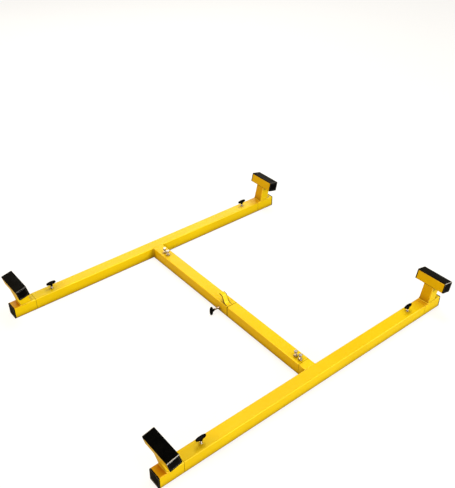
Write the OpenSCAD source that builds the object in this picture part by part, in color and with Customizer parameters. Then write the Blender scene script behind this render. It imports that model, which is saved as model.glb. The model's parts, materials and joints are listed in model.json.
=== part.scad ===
// Adjustable truck bed cargo bar: two crossbars joined by a spine, with padded, outward-leaning
// heads on telescoping ends. X runs across the truck, Y along it, Z up. The origin is on the
// underside, at the middle of the frame.

/* [Tubes] */
// Outside width of the square tubes
tube_w = 50; // [40:1:60]
// Wall thickness of every square tube
wall = 2; // [1.5:0.1:2.5]
// Clearance between a sliding tube and the wall round it
slide_gap = 0.5; // [0.3:0.1:1]
// Outside corner radius of the main tubes
corner_r = 4; // [3:0.5:5]

/* [Crossbars] */
// Length of a crossbar with both ends pushed in
bar_length = 1345; // [1200:5:1500]
// Distance between the two crossbars' centre lines
bar_spacing = 995; // [990:5:1200]
// Length of the full-size tube on each sliding end
end_tube_length = 90; // [85:1:120]
// Length of an end's slide tube hidden in the crossbar
slide_length = 350; // [260:5:400]

/* [Spine] */
// Length of the fixed collar on the near crossbar
collar_length = 32; // [20:1:36]
// Length of the stub tube that each crossbar pushes into the spine
stub_length = 100; // [95:1:120]
// Place of the joint between the two spine halves along Y
spine_joint_y = -40; // [-80:1:-40]
// Length of the slide tube inside the near half of the spine
spine_slide_in = 200; // [120:5:260]
// Length of the slide tube inside the far half of the spine
spine_slide_out = 380; // [200:5:390]

/* [Heads] */
// Outward lean of the posts and heads in degrees
lean = 13; // [5:1:20]
// Outside width of the square post, and of the head tube across it
post_w = 45; // [35:1:48]
// Length of a post's inner face from the crossbar to the head
post_height = 70; // [60:1:90]
// Distance from the end of the tube to the outer face of the post
post_inset = 27.5; // [20:0.5:30]
// Outside height of the head tube
head_h = 40; // [35:1:48]
// Overall length of a head along Y
head_length = 131; // [100:1:160]
// Thickness of the rubber pad on a head
pad_t = 4; // [3:0.5:6]
// How far a pad overhangs each long side of its head
pad_overhang = 0.5; // [0:0.5:2]

/* [Caps] */
// Thickness of a cap's visible flange
cap_flange = 4.5; // [2:0.5:6]
// Depth of a cap's plug inside its tube
cap_plug = 14; // [10:1:16]

/* [Thumb screws] */
// Diameter of a thumb screw's shank
screw_d = 8; // [6:1:8]
// Distance from the middle of the crossbar to a thumb screw
screw_x = 500; // [440:5:520]
// Place of the spine's thumb screw along Y
spine_screw_y = 8; // [0:1:60]
// Height of the spine's thumb screw above the underside
spine_screw_z = 20; // [14:1:30]
// Bare shank between the tube and the knob on a crossbar
screw_stand = 14; // [10:1:24]
// Bare shank between the tube and the knob on the spine
spine_screw_stand = 28; // [20:1:32]
// Width of a knob across its wings
knob_w = 40; // [36:1:50]
// Height of a knob
knob_h = 20; // [18:1:30]

/* [Spine bolts] */
// Height of a set bolt's head above the spine
bolt_stand = 25; // [20:1:40]
// Distance between the two set bolts of a pair
bolt_pitch = 24; // [22:1:30]
// Distance from a crossbar's centre line to the nearest set bolt of the near pair
near_bolt_y = 70; // [68:1:80]
// Distance from a crossbar's centre line to the nearest set bolt of the far pair
far_bolt_y = 85; // [60:1:85]
// Offset of the set bolts from the middle of the spine
bolt_x = -5; // [-8:1:0]

/* [Tie hook] */
// Width of the hook's bent strap
hook_w = 25; // [18:1:30]
// Thickness of the hook's bent strap
hook_t = 3; // [2:0.5:4]
// Offset of the hook from the middle of the spine
hook_x = -12; // [-12:1:10]

/* [Hidden] */
$fn = 48;

// Sections
inner_w = tube_w - 2 * wall;
slide_w = inner_w - 2 * slide_gap;
slide_r = corner_r - 1;
cap_gap = 0.3;
cap_r = corner_r - wall;
tube_mid = tube_w / 2;

// Crossbar and spine stations
bar_y = bar_spacing / 2;
main_half = bar_length / 2 - end_tube_length;
spine_end = bar_y - tube_w / 2;
near_spine_start = collar_length - spine_end;

// Posts and heads, measured in the leaning frame of the post
post_in_x = bar_length / 2 - post_inset - post_w / cos(lean);
head_tube_length = head_length - 2 * cap_flange;

// Thumb screws
shaft_gap = 0.05;
tip_gap = 0.3;
bush_d = 16;
bush_flange = 1.5;
shank_in = wall + slide_gap - tip_gap;
shank_in_knob = 10;
knob_t = 12;
boss_d = 14;
lobe_r = 6.5;
knob_dip = 1;

// Set bolts
hex_flats = 13;
hex_d = hex_flats / cos(30);
bolt_head_t = 5.5;
nut_t = 6.5;
bolt_clearance = 0.4;
weld_nut_z = tube_w - wall - slide_gap - wall;
bolt_tip = 4;

// Hook strap, along its middle line from the foot to the tip
hook_foot_y = spine_joint_y + 3;
hook_foot = 4;
hook_low_r = 18;
hook_low_angle = 62;
hook_rise = 22;
hook_top_r = 6;
hook_tip_angle = 10;
hook_tip = 12;
bend_steps = 12;

yellow = [0.96, 0.77, 0.07];
black = [0.06, 0.06, 0.06];
zinc = [0.75, 0.76, 0.78];

// Cross sections

module rounded_rectangle(w, h, r) {
    square([w, h - 2 * r], center = true);
    square([w - 2 * r, h], center = true);
    for (x = [-1, 1], y = [-1, 1])
        translate([x * (w / 2 - r), y * (h / 2 - r)])
            circle(r);
}

module tube_section(w, h, r) {
    difference() {
        rounded_rectangle(w, h, r);
        rounded_rectangle(w - 2 * wall, h - 2 * wall, max(r - wall, 0.5));
    }
}

// A square tube along X from x0 to x1, centred on the crossbar's centre line
module tube_along_x(w, r, x0, x1) {
    translate([x0, 0, tube_mid])
        rotate([90, 0, 90])
            linear_extrude(x1 - x0)
                tube_section(w, w, r);
}

// A square tube along Y from y0 to y1, centred on the spine's centre line
module tube_along_y(w, r, y0, y1) {
    translate([0, y1, tube_mid])
        rotate([90, 0, 0])
            linear_extrude(y1 - y0)
                tube_section(w, w, r);
}

// Places its children, drawn for a right-hand end, at the end named by the two signs
module at_end(side, bar) {
    translate([0, bar * bar_y, 0])
        mirror([side < 0 ? 1 : 0, 0, 0])
            children();
}

// The leaning frame of a post: X outward, Z up the post's inner face
module post_frame() {
    translate([post_in_x, 0, tube_w])
        rotate([0, lean, 0])
            children();
}

// Frame

module crossbar_tube(bar) {
    color(yellow)
        difference() {
            translate([0, bar * bar_y, 0])
                tube_along_x(tube_w, corner_r, -main_half, main_half);
            for (side = [-1, 1])
                at_end(side, bar)
                    translate([screw_x, 0, tube_w - wall - 1])
                        cylinder(d = bush_d - 4, h = wall + 2);
        }
}

module stub_collar() {
    color(yellow)
        tube_along_y(tube_w, corner_r, -spine_end, near_spine_start);
}

// A stub tube welded to a crossbar, for the spine to slide onto
module stub_tube(bar, bolt_y) {
    color(yellow)
        difference() {
            tube_along_y(slide_w, slide_r, min(bar * spine_end, bar * (spine_end - stub_length)),
                max(bar * spine_end, bar * (spine_end - stub_length)));
            set_bolt_holes(bar, bolt_y);
        }
}

module set_bolt_places(bar, bolt_y) {
    for (i = [0, 1])
        translate([bolt_x, bar * (bar_y - bolt_y - i * bolt_pitch), 0])
            children();
}

module set_bolt_holes(bar, bolt_y) {
    set_bolt_places(bar, bolt_y)
        translate([0, 0, weld_nut_z - 1])
            cylinder(d = screw_d + 2 * bolt_clearance, h = tube_w - weld_nut_z + 2);
}

module near_spine_tube() {
    color(yellow)
        difference() {
            tube_along_y(tube_w, corner_r, near_spine_start, spine_joint_y);
            set_bolt_holes(-1, near_bolt_y);
        }
}

module far_spine_tube() {
    color(yellow)
        difference() {
            tube_along_y(tube_w, corner_r, spine_joint_y, spine_end);
            set_bolt_holes(1, far_bolt_y);
            translate([-tube_w / 2 - 1, spine_screw_y, spine_screw_z])
                rotate([0, 90, 0])
                    cylinder(d = bush_d - 4, h = wall + 2);
        }
}

module spine_slide_tube() {
    color(yellow)
        tube_along_y(slide_w, slide_r, spine_joint_y - spine_slide_in,
            spine_joint_y + spine_slide_out);
}

// Points along a round bend of radius r, from angle a0 to a1 about its centre
function bend(centre, r, a0, a1) =
    [for (i = [0:bend_steps])
        let (a = a0 + (a1 - a0) * i / bend_steps)
            centre + r * [cos(a), sin(a)]];

// One side of the hook's strap in side view, left (way 1) or right (way -1) of its middle line
function hook_side(way) =
    let (
        half = way * hook_t / 2,
        low_centre = [hook_foot, hook_t / 2 + hook_low_r],
        rise_start = low_centre + hook_low_r * [sin(hook_low_angle), -cos(hook_low_angle)],
        rise_end = rise_start + hook_rise * [cos(hook_low_angle), sin(hook_low_angle)],
        top_centre = rise_end + hook_top_r * [sin(hook_low_angle), -cos(hook_low_angle)],
        tip_way = [cos(hook_tip_angle), sin(hook_tip_angle)],
        tip_side = [-sin(hook_tip_angle), cos(hook_tip_angle)]
    )
    concat(
        [[0, hook_t / 2 + half]],
        bend(low_centre, hook_low_r - half, -90, hook_low_angle - 90),
        bend(top_centre, hook_top_r + half, 90 + hook_low_angle, 90 + hook_tip_angle),
        [top_centre + hook_tip * tip_way + (hook_top_r + half) * tip_side]
    );

// The S-shaped side view of the hook: flat foot, rise, and a tip curled over to the far side
module hook_outline() {
    right = hook_side(-1);
    polygon(concat(hook_side(1), [for (i = [len(right) - 1:-1:0]) right[i]]));
}

module tie_hook() {
    color(yellow)
        translate([hook_x - hook_w / 2, hook_foot_y, tube_w])
            rotate([90, 0, 90])
                linear_extrude(hook_w)
                    hook_outline();
}

// Set bolts with their nuts

module hexagon_nut(t) {
    difference() {
        cylinder(d = hex_d, h = t, $fn = 6);
        translate([0, 0, -1])
            cylinder(d = screw_d + 2 * shaft_gap, h = t + 2);
    }
}

module set_bolts(bar, bolt_y) {
    color(zinc)
        set_bolt_places(bar, bolt_y) {
            translate([0, 0, tube_w + bolt_stand - bolt_head_t])
                cylinder(d = hex_d, h = bolt_head_t, $fn = 6);
            translate([0, 0, weld_nut_z - nut_t - bolt_tip])
                cylinder(d = screw_d, h = tube_w + bolt_stand - weld_nut_z + nut_t + bolt_tip - 1);
        }
}

module jam_nuts(bar, bolt_y) {
    color(zinc)
        set_bolt_places(bar, bolt_y)
            translate([0, 0, tube_w])
                hexagon_nut(nut_t);
}

module weld_nuts(bar, bolt_y) {
    color(zinc)
        set_bolt_places(bar, bolt_y)
            translate([0, 0, weld_nut_z - nut_t])
                hexagon_nut(nut_t);
}

// Sliding ends

module slide_tube(side, bar) {
    color(yellow)
        at_end(side, bar)
            tube_along_x(slide_w, slide_r, main_half - slide_length, bar_length / 2 - cap_plug - 1);
}

module end_tube(side, bar) {
    color(yellow)
        at_end(side, bar)
            tube_along_x(tube_w, corner_r, main_half, bar_length / 2);
}

module post(side, bar) {
    color(yellow)
        at_end(side, bar)
            difference() {
                post_frame()
                    translate([post_w / 2, 0, -tube_w / 2])
                        linear_extrude(post_height + tube_w / 2)
                            tube_section(post_w, post_w, corner_r);
                translate([post_in_x - tube_w, -tube_w, 0])
                    cube([3 * tube_w, 2 * tube_w, tube_w]);
            }
}

module head_tube(side, bar) {
    color(yellow)
        at_end(side, bar)
            post_frame()
                translate([post_w / 2, head_tube_length / 2, post_height + head_h / 2])
                    rotate([90, 0, 0])
                        linear_extrude(head_tube_length)
                            tube_section(post_w, head_h, corner_r);
}

module head_pad(side, bar) {
    color(black)
        at_end(side, bar)
            post_frame()
                translate([-pad_overhang, -head_length / 2, post_height + head_h])
                    cube([post_w + 2 * pad_overhang, head_length, pad_t]);
}

// A push-in cap that faces +Z: a flange over the tube's end and a hollow plug inside it
module cap(w, h) {
    linear_extrude(cap_flange)
        rounded_rectangle(w, h, corner_r);
    translate([0, 0, -cap_plug])
        linear_extrude(cap_plug)
            tube_section(w - 2 * (wall + cap_gap), h - 2 * (wall + cap_gap), cap_r);
}

module head_caps(side, bar) {
    color(black)
        at_end(side, bar)
            post_frame()
                for (way = [-1, 1])
                    translate([post_w / 2, way * head_tube_length / 2, post_height + head_h / 2])
                        rotate([-way * 90, 0, 0])
                            cap(post_w, head_h);
}

module end_cap(side, bar) {
    color(black)
        at_end(side, bar)
            translate([bar_length / 2, 0, tube_mid])
                rotate([90, 0, 90])
                    cap(tube_w, tube_w);
}

// Thumb screws, drawn upright with the tube's face at z = 0

module screw_shape(stand) {
    translate([0, 0, -shank_in])
        cylinder(d = screw_d, h = shank_in + stand + shank_in_knob);
}

// A wing knob: two round lobes that taper into a boss round the shank
module knob_outline() {
    lobe_x = knob_w / 2 - lobe_r;
    lobe_z = knob_h - lobe_r;
    waist = boss_d / 2;
    for (side = [-1, 1])
        translate([side * lobe_x, lobe_z])
            circle(lobe_r);
    polygon([[-waist, 0], [waist, 0], [knob_w / 2 - lobe_r / 2, lobe_z - lobe_r * sin(60)],
        [lobe_x, knob_h], [0, knob_h - knob_dip], [-lobe_x, knob_h],
        [lobe_r / 2 - knob_w / 2, lobe_z - lobe_r * sin(60)]]);
}

module knob_shape(stand) {
    translate([0, 0, stand])
        difference() {
            union() {
                cylinder(d = boss_d, h = knob_h - 5);
                translate([0, knob_t / 2, 0])
                    rotate([90, 0, 0])
                        linear_extrude(knob_t)
                            knob_outline();
            }
            translate([0, 0, -1])
                cylinder(d = screw_d + 2 * shaft_gap, h = shank_in_knob + tip_gap + 1);
        }
}

// The threaded bush set in the tube's wall
module bush_shape() {
    difference() {
        union() {
            cylinder(d = bush_d, h = bush_flange);
            translate([0, 0, -wall])
                cylinder(d = bush_d - 4, h = wall);
        }
        translate([0, 0, -wall - 1])
            cylinder(d = screw_d + 2 * shaft_gap, h = wall + bush_flange + 2);
    }
}

module at_bar_screw(side, bar) {
    at_end(side, bar)
        translate([screw_x, 0, tube_w])
            children();
}

module at_spine_screw() {
    translate([-tube_w / 2, spine_screw_y, spine_screw_z])
        rotate([0, -90, 0])
            children();
}

module bar_screw(side, bar) {
    color(zinc) at_bar_screw(side, bar) screw_shape(screw_stand);
}

module bar_knob(side, bar) {
    color(black) at_bar_screw(side, bar) knob_shape(screw_stand);
}

module bar_bush(side, bar) {
    color(yellow) at_bar_screw(side, bar) bush_shape();
}

module spine_screw() {
    color(zinc) at_spine_screw() screw_shape(spine_screw_stand);
}

module spine_knob() {
    color(black) at_spine_screw() knob_shape(spine_screw_stand);
}

module spine_bush() {
    color(yellow) at_spine_screw() bush_shape();
}

crossbar_tube(-1);  // near_crossbar_tube
crossbar_tube(1);  // far_crossbar_tube
stub_collar();  // near_stub_collar
stub_tube(-1, near_bolt_y);  // near_stub_tube
stub_tube(1, far_bolt_y);  // far_stub_tube
near_spine_tube();
far_spine_tube();
spine_slide_tube();
tie_hook();
set_bolts(-1, near_bolt_y);  // near_set_bolts
set_bolts(1, far_bolt_y);  // far_set_bolts
jam_nuts(-1, near_bolt_y);  // near_jam_nuts
jam_nuts(1, far_bolt_y);  // far_jam_nuts
weld_nuts(-1, near_bolt_y);  // near_weld_nuts
weld_nuts(1, far_bolt_y);  // far_weld_nuts
slide_tube(-1, -1);  // near_left_slide_tube
end_tube(-1, -1);  // near_left_end_tube
post(-1, -1);  // near_left_post
head_tube(-1, -1);  // near_left_head_tube
head_pad(-1, -1);  // near_left_head_pad
head_caps(-1, -1);  // near_left_head_caps
end_cap(-1, -1);  // near_left_end_cap
bar_screw(-1, -1);  // near_left_screw
bar_knob(-1, -1);  // near_left_knob
bar_bush(-1, -1);  // near_left_bush
slide_tube(1, -1);  // near_right_slide_tube
end_tube(1, -1);  // near_right_end_tube
post(1, -1);  // near_right_post
head_tube(1, -1);  // near_right_head_tube
head_pad(1, -1);  // near_right_head_pad
head_caps(1, -1);  // near_right_head_caps
end_cap(1, -1);  // near_right_end_cap
bar_screw(1, -1);  // near_right_screw
bar_knob(1, -1);  // near_right_knob
bar_bush(1, -1);  // near_right_bush
slide_tube(-1, 1);  // far_left_slide_tube
end_tube(-1, 1);  // far_left_end_tube
post(-1, 1);  // far_left_post
head_tube(-1, 1);  // far_left_head_tube
head_pad(-1, 1);  // far_left_head_pad
head_caps(-1, 1);  // far_left_head_caps
end_cap(-1, 1);  // far_left_end_cap
bar_screw(-1, 1);  // far_left_screw
bar_knob(-1, 1);  // far_left_knob
bar_bush(-1, 1);  // far_left_bush
slide_tube(1, 1);  // far_right_slide_tube
end_tube(1, 1);  // far_right_end_tube
post(1, 1);  // far_right_post
head_tube(1, 1);  // far_right_head_tube
head_pad(1, 1);  // far_right_head_pad
head_caps(1, 1);  // far_right_head_caps
end_cap(1, 1);  // far_right_end_cap
bar_screw(1, 1);  // far_right_screw
bar_knob(1, 1);  // far_right_knob
bar_bush(1, 1);  // far_right_bush
spine_screw();
spine_knob();
spine_bush();
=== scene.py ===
import json
import math

import bmesh
import bpy
from mathutils import Matrix, Vector

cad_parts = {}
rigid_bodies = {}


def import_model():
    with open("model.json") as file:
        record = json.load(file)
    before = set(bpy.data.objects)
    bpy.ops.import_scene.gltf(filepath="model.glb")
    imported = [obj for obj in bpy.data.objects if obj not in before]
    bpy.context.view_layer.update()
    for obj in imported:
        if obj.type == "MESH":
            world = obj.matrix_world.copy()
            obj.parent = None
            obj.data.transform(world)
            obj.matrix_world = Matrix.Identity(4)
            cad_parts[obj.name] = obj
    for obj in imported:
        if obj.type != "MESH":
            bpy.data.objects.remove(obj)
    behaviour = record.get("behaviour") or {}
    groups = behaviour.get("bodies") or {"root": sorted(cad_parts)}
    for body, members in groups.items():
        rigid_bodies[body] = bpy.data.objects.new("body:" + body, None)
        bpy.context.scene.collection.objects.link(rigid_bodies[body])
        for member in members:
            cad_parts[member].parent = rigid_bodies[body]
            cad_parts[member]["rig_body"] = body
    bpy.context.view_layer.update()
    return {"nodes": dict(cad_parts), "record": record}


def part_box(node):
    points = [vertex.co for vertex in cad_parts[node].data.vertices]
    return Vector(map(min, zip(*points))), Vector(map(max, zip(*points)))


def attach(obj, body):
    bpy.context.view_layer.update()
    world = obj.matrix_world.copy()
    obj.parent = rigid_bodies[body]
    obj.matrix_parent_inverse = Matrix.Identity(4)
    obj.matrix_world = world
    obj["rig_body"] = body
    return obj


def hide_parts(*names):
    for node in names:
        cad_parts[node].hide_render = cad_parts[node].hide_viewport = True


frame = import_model()

# Looks of the bed cargo bar. Lengths are in metres, in the CAD frame: X across the truck, Y along
# it, Z up. Places and sizes of the pieces come from the frame's nodes and mounts.

MM = 0.001
ENDS = ("near_left", "near_right", "far_left", "far_right")
SCREWS = ENDS + ("spine",)

# The camera stands at the front left, above the frame
CAMERA_TARGET = Vector((0.2928, 0.3493, 0.0))
CAMERA_AZIMUTH = math.radians(-39.04)
CAMERA_ELEVATION = math.radians(34.83)
CAMERA_DISTANCE = 3.1009
CAMERA_LENS = 50.36

# Tubes
SEAM_CHAMFER = 0.95 * MM
CORNER_RADIUS = 4 * MM
WALL = 2 * MM

# Pads. A rib's half width and the width of a groove's side are shares of the pitch
RIB_PITCH = 5 * MM
RIB_DEPTH = 0.8 * MM
RIB_HALF = 0.34
GROOVE_SIDE = 0.12
PAD_EDGE = 2.2 * MM

# Caps
CAP_PLUG = 14 * MM
CAP_FIT = 0.3 * MM
CAP_EDGE = 0.8 * MM
CAP_RIM = 4.5 * MM
CAP_RECESS = 0.9 * MM

# Screws, bolts and nuts
THREAD_PITCH = 1.25 * MM
THREAD_DEPTH = 0.65 * MM
HEAD_HEIGHT = 5.5 * MM
NUT_CHAMFER = math.tan(math.radians(30))
NUT_FACE = 0.97
SLEEVE_STEP = 2 * MM

# Knobs. A greater taper gives a more pointed wing
KNOB_VOXEL = 0.55 * MM
KNOB_THICKNESS = 12 * MM
WING_HALF_HEIGHT = 7.5 * MM
WING_TAPER = 0.6
WING_STEPS = 28

# Hook strap, along its middle line, and the darker band along each of its edges
HOOK_THICKNESS = 3 * MM
HOOK_EDGE = 1.1 * MM
HOOK_SOFT_END = 0.5 * MM
HOOK_DARK_BAND = 3.2 * MM
HOOK_FOOT = 4 * MM
HOOK_LOW_RADIUS = 18 * MM
HOOK_RISE = 22 * MM
HOOK_TOP_RADIUS = 6 * MM
HOOK_TIP = 12 * MM
HOOK_RISE_ANGLE = math.radians(62)
HOOK_TIP_ANGLE = math.radians(10)

# Colours of the powder coat, of its painted highlight and painted shade, and of what shows where it
# is dirty or worn through
DEEP_YELLOW = (0.665, 0.450, 0.001)
LIGHT_YELLOW = (0.705, 0.500, 0.002)
# Painted highlight: the paler yellow laid on the round edges of the tubes
EDGE_HIGHLIGHT_YELLOW = (0.85, 0.66, 0.09)
# Speckle colour, and also the deeper yellow of the painted shade on a bar's top
SPECK_AND_SHADE_YELLOW = (0.58, 0.37, 0.002)
GRIME = (0.035, 0.018, 0.002)
# Painted shade and painted shadow: the orange-brown of the posts' shadows on the bars and of shaded
# inward faces
SHADE_ORANGE = (0.35, 0.10, 0.001)
# Painted shade on faces that look down
UNDERSIDE_SHADE = (0.16, 0.085, 0.002)
# Painted shade in corners between pieces, where the occlusion node finds them
CREVICE_SHADE = (0.15, 0.055, 0.002)
# Painted shade along the lowest edge, where the tubes meet the floor
LOW_EDGE_SHADE = (0.10, 0.045, 0.003)
BARE_STEEL = (0.42, 0.40, 0.36)
ZINC_MAUVE = (0.50, 0.44, 0.46)
ZINC_STRAW = (0.66, 0.60, 0.52)
# Painted shade in the zinc's corners
ZINC_CORNER_SHADE = (0.10, 0.07, 0.02)

# How far the painted shade reaches: into the open from a corner, up from the floor, along a bar
# from a post's foot as the post's painted shadow, and up a post; and how far the grime reaches
# beside the spine's joint
CREVICE_REACH = 35 * MM
ZINC_CREVICE_REACH = 9 * MM
LOW_EDGE = 5.5 * MM
POST_SHADOW_REACH = 75 * MM
POST_SHADE_HEIGHT = 30 * MM
JOINT_HALF = 1.5 * MM
JOINT_FADE = 1 * MM

# How strong the stains and painted shade are, from 0 to 1: joint grime, hook edge bands, post
# shadows, shaded faces
SEAM_GRIME = 0.93
RIGHT_SEAM_GRIME = 0.45
POST_SHADOW_STRENGTH = 0.75
POST_INNER_SHADE = 0.45
POST_FOOT_SHADE = 0.5
HEAD_INNER_SHADE = 0.28
JOINT_GRIME = 0.25
JOINT_SIDE_GRIME = 0.9
HOOK_EDGE_DARKENING = 0.85
NEAR_TOP_PAINTED_SHADE = 0.45

# How squarely a face looks along an axis where its stain or painted shade starts, and where it is
# full
BROAD = (0.25, 0.6)
NARROW = (0.25, 0.5)

# Where a bar's top gets painted shade, a deeper yellow: the middle along X, the half length and the
# fade
SHADED_TOP = (-0.35, 0.25, 0.45)

# The two ends of the roughness of rubber and plastic
MATT = (0.34, 0.46)
SATIN = (0.28, 0.38)
GLOSSY = (0.22, 0.30)
RUBBED = (0.16, 0.26)

# How grey and how shiny each pad's rubber is; the grey is a painted sheen, greyer on pads that show
# more reflection
PAD_LIT_TONES = {"near_left": (0.0004, 0.012), "near_right": (0.0012, 0.055),
            "far_left": (0.0010, 0.05), "far_right": (0.0022, 0.09)}

# Weld beads: their radii, the spacing of their rings, the length of a ripple, how far the spine's
# bead lies below its top and above the floor, and how far the other beads stand off their faces
SPINE_BEAD = 2.2 * MM
POST_BEAD = 1.9 * MM
HOOK_BEAD = 1.4 * MM
BEAD_STEP = 0.8 * MM
BEAD_RIPPLE = 2.6 * MM
BEAD_INSET = 1.7 * MM
FLOOR_GAP = 0.4 * MM
BEAD_CLEARANCE = 0.3 * MM


# Mesh helpers

def skin(rings, loop=False):
    """Points and faces of the surface through rings of equally many points. A loop joins the last
    ring to the first, and otherwise each end ring is closed by one face."""
    count = len(rings[0])
    points = [point for ring in rings for point in ring]
    faces = []
    for r in range(len(rings) if loop else len(rings) - 1):
        a = r * count
        b = (r + 1) % len(rings) * count
        for i in range(count):
            j = (i + 1) % count
            faces.append((a + i, a + j, b + j, b + i))
    if not loop:
        faces.append(tuple(range(count)))
        faces.append(tuple(range(len(points) - count, len(points))))
    return points, faces


def mesh_of(name, parts, place=Matrix.Identity(4), smooth_degrees=38):
    """One mesh made of several closed surfaces, each moved by place."""
    work = bmesh.new()
    for points, faces in parts:
        corners = [work.verts.new(place @ Vector(point)) for point in points]
        for face in faces:
            work.faces.new([corners[i] for i in face])
    bmesh.ops.recalc_face_normals(work, faces=work.faces)
    for face in work.faces:
        face.smooth = True
    for edge in work.edges:
        edge.smooth = edge.calc_face_angle(0) < math.radians(smooth_degrees)
    mesh = bpy.data.meshes.new(name)
    work.to_mesh(mesh)
    work.free()
    return mesh


def body_of(node):
    """The CAD body that a node rides on."""
    return frame["nodes"][node]["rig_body"]


def piece_of(mesh, material, body, replaced=()):
    """An object of the mesh that rides on a body and stands for the replaced nodes."""
    piece = bpy.data.objects.new(mesh.name, mesh)
    bpy.context.scene.collection.objects.link(piece)
    mesh.materials.clear()
    mesh.materials.append(material)
    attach(piece, body)
    if replaced:
        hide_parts(*replaced)
    return piece


def rub_edges(piece, material, is_edge):
    """Gives a second material to the faces that a test picks out."""
    piece.data.materials.append(material)
    for face in piece.data.polygons:
        if is_edge(face):
            face.material_index = 1


def rounded_rectangle(width, height, radius, steps=6):
    """Points anticlockwise round a rectangle with round corners, centred on the origin."""
    points = []
    for quarter in range(4):
        x = (width / 2 - radius) * (1 if quarter in (0, 3) else -1)
        y = (height / 2 - radius) * (1 if quarter in (0, 1) else -1)
        for step in range(steps + 1):
            angle = (quarter + step / steps) * math.pi / 2
            points.append((x + radius * math.cos(angle), y + radius * math.sin(angle)))
    return points


def round_ring(radius_at, height_at, count=48):
    """One ring round the Z axis. Radius and height are functions of the angle."""
    ring = []
    for i in range(count):
        angle = 2 * math.pi * i / count
        radius = radius_at(angle)
        ring.append((radius * math.cos(angle), radius * math.sin(angle), height_at(angle)))
    return ring


def frame_matrix(origin, x_axis, y_axis, z_axis):
    """The placement that takes local X, Y and Z to three directions at an origin."""
    matrix = Matrix((x_axis, y_axis, z_axis)).transposed().to_4x4()
    matrix.translation = origin
    return matrix


# Materials

# The way that the right-hand heads lean, and the height of the bars
HEAD_UP = Vector(next(m["axis"] for m in frame["record"]["mounts"]
                      if m["name"] == "near_right_pad_face")).normalized()
BAR_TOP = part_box("near_crossbar_tube")[1].z


def new_material(name):
    """A new material, its node tree and its shader."""
    material = bpy.data.materials.new(name)
    material.use_nodes = True
    return material, material.node_tree, material.node_tree.nodes["Principled BSDF"]


def add(tree, kind, inputs=(), **settings):
    """A node with some of its settings and unlinked inputs given."""
    node = tree.nodes.new(kind)
    for key, value in settings.items():
        setattr(node, key, value)
    for key, value in dict(inputs).items():
        node.inputs[key].default_value = value
    return node


def noise(tree, scale, detail=2.0, stretch=None):
    """A noise texture's value over the piece's own coordinates, which may be stretched."""
    place = add(tree, "ShaderNodeTexCoord").outputs["Object"]
    if stretch:
        mapping = add(tree, "ShaderNodeMapping", {"Scale": stretch})
        tree.links.new(place, mapping.inputs["Vector"])
        place = mapping.outputs["Vector"]
    node = add(tree, "ShaderNodeTexNoise", {"Scale": scale, "Detail": detail})
    tree.links.new(place, node.inputs["Vector"])
    return node.outputs["Fac"]


def remap(tree, value, low, high, to_low=0.0, to_high=1.0):
    """A value's range taken to another one, and held at its ends."""
    node = add(tree, "ShaderNodeMapRange", {"From Min": low, "From Max": high, "To Min": to_low,
                                            "To Max": to_high})
    tree.links.new(value, node.inputs["Value"])
    return node.outputs["Result"]


def math_node(tree, operation, first, second=None):
    """The result of a sum on one or two values. Each is a number or a socket."""
    node = add(tree, "ShaderNodeMath", operation=operation)
    for slot, value in zip(node.inputs, (first, second)):
        if isinstance(value, (int, float)):
            slot.default_value = value
        elif value is not None:
            tree.links.new(value, slot)
    return node.outputs["Value"]


def mix_colour(tree, factor, first, second):
    """A blend of two colours. Each is a colour or a socket."""
    node = add(tree, "ShaderNodeMix", data_type="RGBA")
    tree.links.new(factor, node.inputs["Factor"])
    for slot, value in zip((node.inputs[6], node.inputs[7]), (first, second)):
        if isinstance(value, tuple):
            slot.default_value = (*value, 1)
        else:
            tree.links.new(value, slot)
    return node.outputs[2]


def bump(tree, shader, height, distance, strength=1.0):
    """Adds a bump under the shader's normal, over any bump that is there."""
    node = add(tree, "ShaderNodeBump", {"Strength": strength, "Distance": distance})
    tree.links.new(height, node.inputs["Height"])
    before = shader.inputs["Normal"].links
    if before:
        tree.links.new(before[0].from_socket, node.inputs["Normal"])
    tree.links.new(node.outputs["Normal"], shader.inputs["Normal"])


def edge_mask(tree):
    """1 on the round edges of the square tubes, and 0 on their flat faces. The greatest part of
    the normal is 1 on a flat face and 0.71 in the middle of a round edge."""
    normal = add(tree, "ShaderNodeNewGeometry").outputs["Normal"]
    parts = add(tree, "ShaderNodeSeparateXYZ")
    tree.links.new(normal, parts.inputs["Vector"])
    x, y, z = (math_node(tree, "ABSOLUTE", parts.outputs[axis]) for axis in "XYZ")
    flatness = math_node(tree, "MAXIMUM", math_node(tree, "MAXIMUM", x, y), z)
    return remap(tree, flatness, 0.92, 0.76)


def facing_mask(tree, axis, limits=BROAD):
    """0 on what faces away from an axis, up to 1 on what faces along it."""
    normal = add(tree, "ShaderNodeNewGeometry").outputs["Normal"]
    dot = add(tree, "ShaderNodeVectorMath", {1: axis}, operation="DOT_PRODUCT")
    tree.links.new(normal, dot.inputs[0])
    return remap(tree, dot.outputs["Value"], *limits)


def crevice_mask(tree, reach):
    """1 deep in a corner between two pieces, and 0 in the open. The node gives 1 in the open and
    about a half in a square corner."""
    node = add(tree, "ShaderNodeAmbientOcclusion", {"Distance": reach}, samples=8)
    flat = add(tree, "ShaderNodeNewGeometry").outputs["True Normal"]
    tree.links.new(flat, node.inputs["Normal"])
    return remap(tree, node.outputs["AO"], 0.9, 0.42)


def place_along(tree, axis):
    """A point's own X, Y or Z in the CAD frame."""
    parts = add(tree, "ShaderNodeSeparateXYZ")
    tree.links.new(add(tree, "ShaderNodeTexCoord").outputs["Object"], parts.inputs["Vector"])
    return parts.outputs[axis]


def low_edge_mask(tree):
    """1 along the lowest edge of the tubes, where they rest on the floor, and 0 above it: where
    painted shade goes.
    """
    return remap(tree, place_along(tree, "Z"), 1.2 * LOW_EDGE, 0.8 * LOW_EDGE)


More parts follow.
